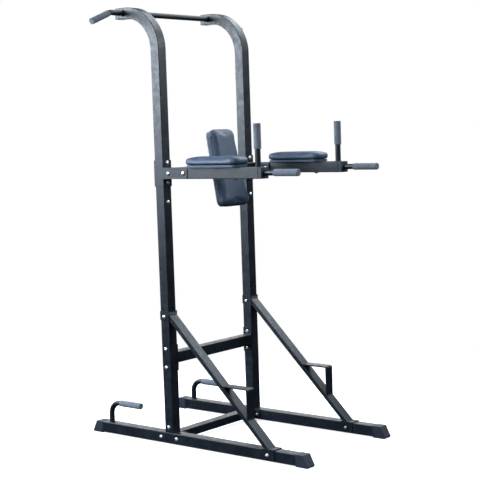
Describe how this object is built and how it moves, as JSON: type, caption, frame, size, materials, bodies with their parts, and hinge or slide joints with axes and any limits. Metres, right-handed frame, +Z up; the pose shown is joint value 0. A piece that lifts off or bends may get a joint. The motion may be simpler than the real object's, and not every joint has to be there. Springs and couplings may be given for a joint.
{
  "type": "power tower",
  "caption": "Free-standing steel power tower: pull-up bar on hooked uprights, padded dip arms and back rest, slanted braces with steps, and low push-up handles.",
  "frame": {"origin": "on the floor, in the middle of the object's bounding box", "axes": "+Z up, -Y to the front where the dip arms point, +Y to the rear under the pull-up bar, -X the left side and +X the right side"},
  "size_m": [1.0534, 1.2856, 2],
  "materials": {
    "frame_steel": "satin black powder coat",
    "bolt_zinc": "bright zinc plating",
    "cap_plastic": "matte moulded plastic",
    "grip_foam": "matte closed-cell foam",
    "pad_vinyl": "fine-grained dark vinyl",
    "pad_board": "dark stained plywood"
  },
  "bodies": {
    "root": {"arm_bracket_l": "frame_steel", "arm_bracket_r": "frame_steel", "arm_end_cap_l": "cap_plastic", "arm_end_cap_r": "cap_plastic", "arm_pad_board_l": "pad_board", "arm_pad_board_r": "pad_board", "arm_pad_l": "pad_vinyl", "arm_pad_r": "pad_vinyl", "arm_tube_l": "frame_steel", "arm_tube_r": "frame_steel", "back_crossbar": "frame_steel", "back_pad": "pad_vinyl", "back_pad_board": "pad_board", "back_pad_bracket": "frame_steel", "brace_bolt_l": "bolt_zinc", "brace_bolt_r": "bolt_zinc", "brace_l": "frame_steel", "brace_r": "frame_steel", "dip_bar_l": "frame_steel", "dip_bar_r": "frame_steel", "dip_grip_l": "grip_foam", "dip_grip_r": "grip_foam", "floor_crossbar": "frame_steel", "floor_rail_l": "frame_steel", "floor_rail_r": "frame_steel", "foot_bolt_l": "bolt_zinc", "foot_bolt_r": "bolt_zinc", "foot_cap_front_l": "cap_plastic", "foot_cap_front_r": "cap_plastic", "foot_cap_rear_l": "cap_plastic", "foot_cap_rear_r": "cap_plastic", "handle_post_l": "frame_steel", "handle_post_r": "frame_steel", "joiner_bolt_l": "bolt_zinc", "joiner_bolt_r": "bolt_zinc", "lower_upright_l": "frame_steel", "lower_upright_r": "frame_steel", "mid_crossbar": "frame_steel", "post_grip_l": "grip_foam", "post_grip_r": "grip_foam", "pull_up_bar": "frame_steel", "pull_up_grip_l": "grip_foam", "pull_up_grip_r": "grip_foam", "push_up_grip_l": "grip_foam", "push_up_grip_r": "grip_foam", "push_up_handle_l": "frame_steel", "push_up_handle_r": "frame_steel", "saddle_bolt_l": "bolt_zinc", "saddle_bolt_r": "bolt_zinc", "step_l": "frame_steel", "step_r": "frame_steel", "upper_upright_l": "frame_steel", "upper_upright_r": "frame_steel", "upright_end_cap_l": "cap_plastic", "upright_end_cap_r": "cap_plastic", "upright_joiner_l": "frame_steel", "upright_joiner_r": "frame_steel"}
  },
  "joints": []
}
